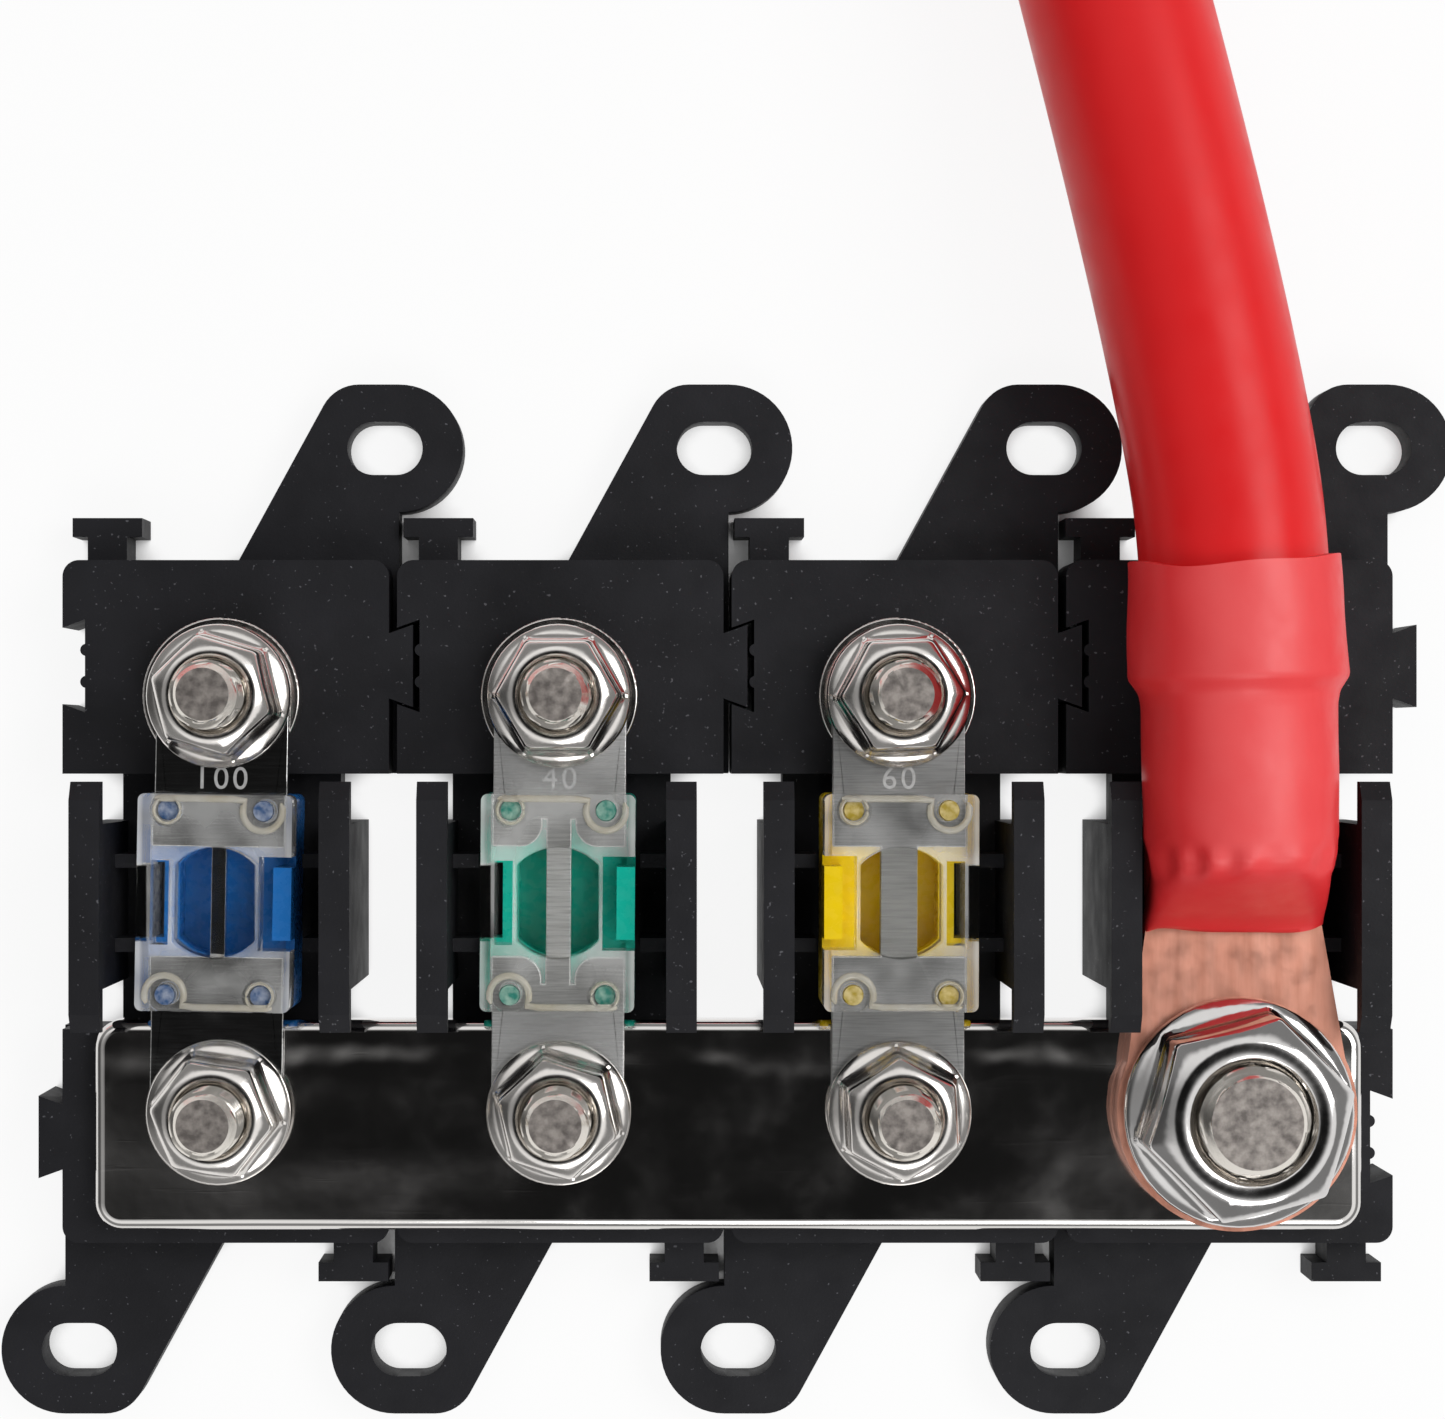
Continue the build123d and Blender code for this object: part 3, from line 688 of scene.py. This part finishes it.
def stud_rings(size):
    """A stud's rings from its foot up, each a height and its radii at the thread's angles."""
    thread_start = bar_top - thread_below_bar
    head_top = head_recess + size["head"]
    point = [0.0] * thread_around
    head = [head_radius(angle, size["flats"]) for angle in thread_angles]
    plain = [size["r"]] * thread_around
    rings = [
        (head_recess, point),
        (head_recess, head),
        (head_top, head),
        (head_top, plain),
        (thread_start, plain),
    ]
    step_height = size["pitch"] / thread_steps
    rows = int((size["top"] - thread_start) / step_height) + 1
    for row in range(1, rows + 1):
        z = min(thread_start + row * step_height, size["top"])
        rings.append((z, [thread_radius(angle, z, size) for angle in thread_angles]))
    rings.append((size["top"], point))
    return rings


def stud_mesh(name, places, size):
    """Studs with hexagon heads and cut threads, as one mesh."""
    points, faces = [], []
    rings = stud_rings(size)
    for x, y in places:
        faces += ring_faces(len(rings), thread_around, len(points))
        for z, radii in rings:
            corners = zip(thread_angles, radii)
            points += [(x + r * cos(angle), y + r * sin(angle), z) for angle, r in corners]
    return mesh_of(name, points, faces, metal_smooth_angle)


fuse_stud_places = [(x, side * stud_y) for x in holder_x[:3] for side in (1, -1)]
fuse_stud_shape = stud_mesh("fuse_studs_threaded", fuse_stud_places, fuse_stud)
piece("fuse_studs_threaded", fuse_stud_shape, "stud_steel", "fuse_studs")
supply_stud_shape = stud_mesh("supply_stud_threaded", [supply_place], supply_stud)
piece("supply_stud_threaded", supply_stud_shape, "stud_steel", "supply_stud")


# Flange nuts

fuse_nut = {
    "flats": 7.75,
    "height": 5.0,
    "flange_r": 5.2,
    "rim": 0.85,
    "cone_top": 1.31,
    "crown_r": 3.27,
    "sink_r": 2.75,
    "bore_r": 2.5,
}
supply_nut = {
    "flats": 13.0,
    "height": 6.6,
    "flange_r": 8.2,
    "rim": 1.0,
    "cone_top": 1.6,
    "crown_r": 5.6,
    "sink_r": 4.5,
    "bore_r": 4.0,
}
fuse_nut_turns = {1: (-16.3, 0.0, 2.0), -1: (-8.0, -17.0, 33.0)}
supply_nut_turn = 14.5
nut_crown_slope = tan(radians(30))
nut_corner_r = 0.5
nut_edge = 0.14
nut_fillet = 0.4
nut_corner_steps = 5
nut_flat_steps = 8


def hexagon_rim(flats):
    """Angle and radius of points round a hexagon with eased corners."""
    centre = (flats / 2 - nut_corner_r) / cos(pi / 6)

    def on_corner(corner, share):
        outward = corner * pi / 3
        swing = outward + blend(-pi / 6, pi / 6, share)
        x = centre * cos(outward) + nut_corner_r * cos(swing)
        y = centre * sin(outward) + nut_corner_r * sin(swing)
        return x, y

    rim = []
    for corner in range(6):
        rim += [on_corner(corner, step / nut_corner_steps) for step in range(nut_corner_steps + 1)]
        start, end = rim[-1], on_corner(corner + 1, 0)
        for step in range(1, nut_flat_steps):
            share = step / nut_flat_steps
            rim.append((blend(start[0], end[0], share), blend(start[1], end[1], share)))
    return [(atan2(y, x), hypot(x, y)) for x, y in rim]


def nut_profile(h, size):
    """A nut's section where its side is at radius h, from the bore's foot out and back over the top."""
    height, flange_r, rim = size["height"], size["flange_r"], size["rim"]
    crown_r, sink_r, bore_r = size["crown_r"], size["sink_r"], size["bore_r"]
    slope = (size["cone_top"] - rim) / (flange_r - size["flats"] / 2)
    cone = rim + (flange_r - h) * slope
    crown = height - (h - crown_r) * nut_crown_slope
    e, fillet = nut_edge, nut_fillet
    flange = [
        (bore_r, 0),
        (flange_r - e, 0),
        (flange_r, e),
        (flange_r, rim - e),
        (flange_r - e, rim + e * slope),
        (blend(flange_r, h, 0.5), blend(rim, cone, 0.42)),
    ]
    foot_of_side = [
        (h + fillet, cone - fillet * slope),
        (h + 0.45 * fillet, cone + 0.12 * fillet),
        (h + 0.12 * fillet, cone + 0.5 * fillet),
        (h, cone + 1.1 * fillet),
    ]
    head_of_side = [
        (h, crown - 2 * e),
        (h - 0.4 * e, crown - 0.5 * e),
        (h - 1.6 * e, crown + 1.5 * e * nut_crown_slope),
    ]
    top = [
        (crown_r + e, height - e * nut_crown_slope),
        (crown_r - e, height),
        (sink_r + 0.5 * e, height),
        (sink_r - 0.5 * e, height - 0.5 * e),
        (bore_r, height - (sink_r - bore_r)),
    ]
    return flange + foot_of_side + head_of_side + top


def nut_mesh(name, places, size):
    """Flange nuts at (x, y, z, turn in degrees), as one mesh."""
    points, faces = [], []
    rim = hexagon_rim(size["flats"])
    sections = [nut_profile(h, size) for _, h in rim]
    levels = len(sections[0])
    for x, y, z, turn in places:
        faces += ring_faces(levels, len(rim), len(points), closed=True)
        for level in range(levels):
            for (angle, _), section in zip(rim, sections):
                r, up = section[level]
                spin = angle + radians(turn)
                points.append((x + r * cos(spin), y + r * sin(spin), z + up))
    return mesh_of(name, points, faces, nut_smooth_angle)


fuse_nut_places = [
    (holder_x[i], side * stud_y, link_top, fuse_nut_turns[side][i]) for i in range(3) for side in (1, -1)
]
fuse_nut_shape = nut_mesh("fuse_nuts_pressed", fuse_nut_places, fuse_nut)
piece("fuse_nuts_pressed", fuse_nut_shape, "nut_plate", "fuse_nuts")
supply_nut_place = (*supply_place, bar_top + palm_thickness, supply_nut_turn)
supply_nut_shape = nut_mesh("supply_nut_pressed", [supply_nut_place], supply_nut)
piece("supply_nut_pressed", supply_nut_shape, "stainless", "supply_nut")


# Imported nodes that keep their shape

weld_reach = 0.002
ease_segments = 2
ease_angle = radians(40)
holder_ease = 0.2
housing_ease = 0.1
cover_ease = 0.12
link_ease = 0.08
lug_ease = 0.25


def dress(node_name, finish, edge_width=None):
    """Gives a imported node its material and, with a width in millimetres, rounded edges in the picture."""
    shown = nodes[node_name]
    if not shown.material_slots:
        shown.data.materials.append(materials[finish])
    for held in shown.material_slots:
        held.material = materials[finish]
    if edge_width is None:
        return
    weld = shown.modifiers.new("weld", "WELD")
    weld.merge_threshold = weld_reach * mm
    bevel = shown.modifiers.new("eased", "BEVEL")
    bevel.width = edge_width * mm
    bevel.segments = ease_segments
    bevel.limit_method = "ANGLE"
    bevel.angle_limit = ease_angle
    bevel.harden_normals = True
    bevel.use_clamp_overlap = True


for i in (1, 2, 3, 4):
    dress(f"holder_{i}", "moulding", holder_ease)
dress("bus_bar", "bar_plate")
dress("spacer_collars", "nut_plate")
fuse_finishes = (("blue", "link_polished"), ("green", "link_ground"), ("yellow", "link_dull"))
for i, (color, link) in enumerate(fuse_finishes, 1):
    dress(f"fuse_{i}_housing", color, housing_ease)
    dress(f"fuse_{i}_cover", "clear_cover", cover_ease)
    dress(f"fuse_{i}_link", link, link_ease)
dress("supply_lug", "copper", lug_ease)
dress("far_lug", "copper", lug_ease)
dress("supply_conductor", "copper")


# Raised edging on the fuse covers: a lip along each end, curled round one pin, and a ring round the other

edging_width = 0.5
edging_height = 0.28
edging_sink = 0.02
edging_y = body_half_length - 0.32
edging_start_x = -pin_x - 0.9
edging_run_step = 0.4
edging_run_points = 15
curl_r = 1.42
curl_start = 150
curl_end = 385
curl_steps = 14
ring_r = 0.95
ring_width = 0.26
ring_steps = 28
bead_points = 7
bead_end_share = 0.4


def edging_path():
    """The lip's middle line at the output end: straight, then most of the way round the right-hand pin."""
    path = [(edging_start_x + edging_run_step * step, edging_y) for step in range(edging_run_points)]
    for step in range(curl_steps + 1):
        angle = radians(blend(curl_start, curl_end, step / curl_steps))
        path.append((pin_x + curl_r * cos(angle), pin_y + curl_r * sin(angle)))
    return path


def ring_path():
    """The middle line of the thin ring round the left-hand pin."""
    turns = [2 * pi * step / ring_steps for step in range(ring_steps + 1)]
    return [(-pin_x + ring_r * cos(turn), pin_y + ring_r * sin(turn)) for turn in turns]


def bead(path, width, side, first):
    """Points and faces of a half-round bead along a line at one end of the cover."""
    points, faces = [], []
    last = len(path) - 1
    for i, (x, y) in enumerate(path):
        before, after = path[max(0, i - 1)], path[min(last, i + 1)]
        run = Vector((after[0] - before[0], after[1] - before[1])).normalized()
        taper = bead_end_share if i in (0, last) else 1.0
        for step in range(bead_points):
            angle = pi * step / (bead_points - 1)
            reach = width / 2 * cos(angle) * taper
            z = cover_top - edging_sink + edging_height * sin(angle) * taper
            points.append((side * (x + run.y * reach), side * (y - run.x * reach), z))
    for i in range(last):
        here = first + i * bead_points
        there = here + bead_points
        for step in range(bead_points):
            beside = (step + 1) % bead_points
            faces.append((here + step, there + step, there + beside, here + beside))
    faces.append([first + step for step in range(bead_points)])
    faces.append([first + last * bead_points + step for step in reversed(range(bead_points))])
    return points, faces


def edging_mesh(name, place):
    """The lips and rings of one cover."""
    points, faces = [], []
    for side in (1, -1):
        for path, width in ((edging_path(), edging_width), (ring_path(), ring_width)):
            bead_shape, bead_faces = bead(path, width, side, len(points))
            points += bead_shape
            faces += bead_faces
    return mesh_of(name, points, faces, soft_smooth_angle, place)


# A plain number etched on each fuse's outer blade

fuse_ratings = ("100", "40", "60")
rating_size = 2.3
rating_y = 8.8
rating_raise = 0.012
rating_thickness = 0.01
rating_spacing = 1.2


def rating_mesh(name, number, place):
    """One etched number as a mesh."""
    text = bpy.data.curves.new(name, "FONT")
    text.body = number
    text.align_x = "CENTER"
    text.align_y = "CENTER"
    text.size = rating_size * mm
    text.extrude = rating_thickness * mm
    text.space_character = rating_spacing
    shown = show(name, text)
    mesh = bpy.data.meshes.new_from_object(shown)
    bpy.data.objects.remove(shown)
    spot = place @ Vector((0, rating_y, link_top + rating_raise))
    mesh.transform(Matrix.Translation(spot * mm) @ place.to_3x3().to_4x4())
    return mesh


for i, number in enumerate(fuse_ratings):
    turn = Matrix.Rotation(radians(fuse_turns[i]), 4, "Z")
    fuse_place = Matrix.Translation((holder_x[i], fuse_offset_y, 0)) @ turn
    edging_name = f"fuse_{i + 1}_cover_edging"
    piece(edging_name, edging_mesh(edging_name, fuse_place), "cover_edge_painted_light")
    rating_name = f"fuse_{i + 1}_rating"
    piece(rating_name, rating_mesh(rating_name, number, fuse_place), "etched")


# Studio

# The tent's levels: its dark opening, its low walls and its left side
tent_dark = 0.03
tent_low = 0.26
tent_left = 0.32
tent_horizon = 0.95

# Where the tent changes: degrees from straight up, then shares of a ray's direction
opening_edge = (28, 8)
band_edge = (58, 46)
right_edge = (0.05, 0.45)
end_edge = (0.1, 0.5)
horizon_edge = (0.05, 0.25)

# Lamps: place and width in metres, and power
lamps = {
    "right_lamp": ((0.38, 0.14, 0.50), 0.35, 1.5),
    "front_lamp": ((0.12, -0.42, 0.46), 0.3, 0.8),
}

floor_reach = 3.0
floor_drop = 0.05
floor_level = 0.9
floor_glow = 0.9
# Painted shade: the floor's glow fades where parts lie within this reach in millimetres, over this range of
# openness
floor_shade_reach = 2.5
floor_shade = (0.15, 0.55)


def softbox(name, place, size, power):
    """A square lamp aimed at the row."""
    lamp = bpy.data.lights.new(name, "AREA")
    lamp.size = size
    lamp.energy = power
    shown = show(name, lamp)
    shown.location = place
    shown.rotation_euler = (-Vector(place)).to_track_quat("-Z", "Y").to_euler()


def upwards(angles):
    """How far up rays point, from their degrees from straight up."""
    return [cos(radians(angle)) for angle in angles]


def white_room():
    """A light tent: white walls, dimmer low down and to the left, with a dark opening overhead."""
    world = bpy.data.worlds.new("room")
    bpy.context.scene.world = world
    world.use_nodes = True
    room = Graph(world.node_tree)
    x, y, z = room.split(room.add("ShaderNodeTexCoord").outputs["Generated"])
    opening = room.span(z, *upwards(opening_edge), 1.0, tent_dark, "SMOOTHSTEP")
    band = room.span(z, *upwards(band_edge), tent_low, 1.0, "SMOOTHSTEP")
    right = room.span(x, *right_edge, tent_left, 1.0, "SMOOTHSTEP")
    ends = room.span(room.math("ABSOLUTE", y), *end_edge, tent_left, 1.0, "SMOOTHSTEP")
    horizon = room.span(z, *horizon_edge, tent_horizon, 0.0, "SMOOTHSTEP")
    side = room.math("MAXIMUM", right, ends)
    wall = room.math("MULTIPLY", side, room.math("MAXIMUM", band, horizon))
    background = room.tree.nodes["Background"]
    background.inputs["Strength"].default_value = 1.0
    room.tree.links.new(room.math("MULTIPLY", opening, wall), background.inputs["Color"])


def pale_floor():
    """A plain white floor that keeps the row's shadow and shows white to the camera, metal and glass, that
    white dimmed by painted shade in narrow gaps.
    """
    mesh = bpy.data.meshes.new("floor")
    corners = [(x * floor_reach, y * floor_reach, 0) for x, y in ((-1, -1), (1, -1), (1, 1), (-1, 1))]
    mesh.from_pydata(corners, [], [(0, 1, 2, 3)])
    shown = show("floor", mesh)
    shown.location.z = -floor_drop * mm
    f = Finish("floor_white", (floor_level, floor_level, floor_level), 0.9, {"Specular IOR Level": 0})
    path = f.add("ShaderNodeLightPath").outputs
    seen = f.math("ADD", path["Is Camera Ray"], path["Is Glossy Ray"])
    seen = f.math("ADD", seen, path["Is Transmission Ray"])
    # Painted shade: the glow fades where ambient occlusion finds parts close by, so narrow gaps show the
    # floor's real shade
    openness = f.add("ShaderNodeAmbientOcclusion", {"Distance": floor_shade_reach * mm}).outputs["AO"]
    glow_with_painted_shade = f.span(openness, *floor_shade, 0, floor_glow)
    glow_share = f.math("MULTIPLY", f.math("MINIMUM", seen, 1.0), glow_with_painted_shade)
    glow = f.add("ShaderNodeEmission", {"Color": (1, 1, 1, 1), "Strength": 1.0})
    f.surface(f.mixed_shader(glow_share, f.shader, glow))
    mesh.materials.append(f.material)


def camera():
    """The photograph's camera: straight down, with its frame shifted."""
    data = bpy.data.cameras.new("camera")
    data.sensor_width = sensor_width
    data.lens = pixel_focus / image_width * sensor_width
    data.shift_x = (image_width / 2 - centre_pixel[0]) / image_width
    data.shift_y = (centre_pixel[1] - image_height / 2) / image_width
    data.clip_start = near_clip
    shown = show("camera", data)
    shown.location = camera_place
    bpy.context.scene.camera = shown


pale_floor()
white_room()
for name, (place, size, power) in lamps.items():
    softbox(name, place, size, power)
camera()
bpy.context.scene.view_settings.view_transform = "Standard"
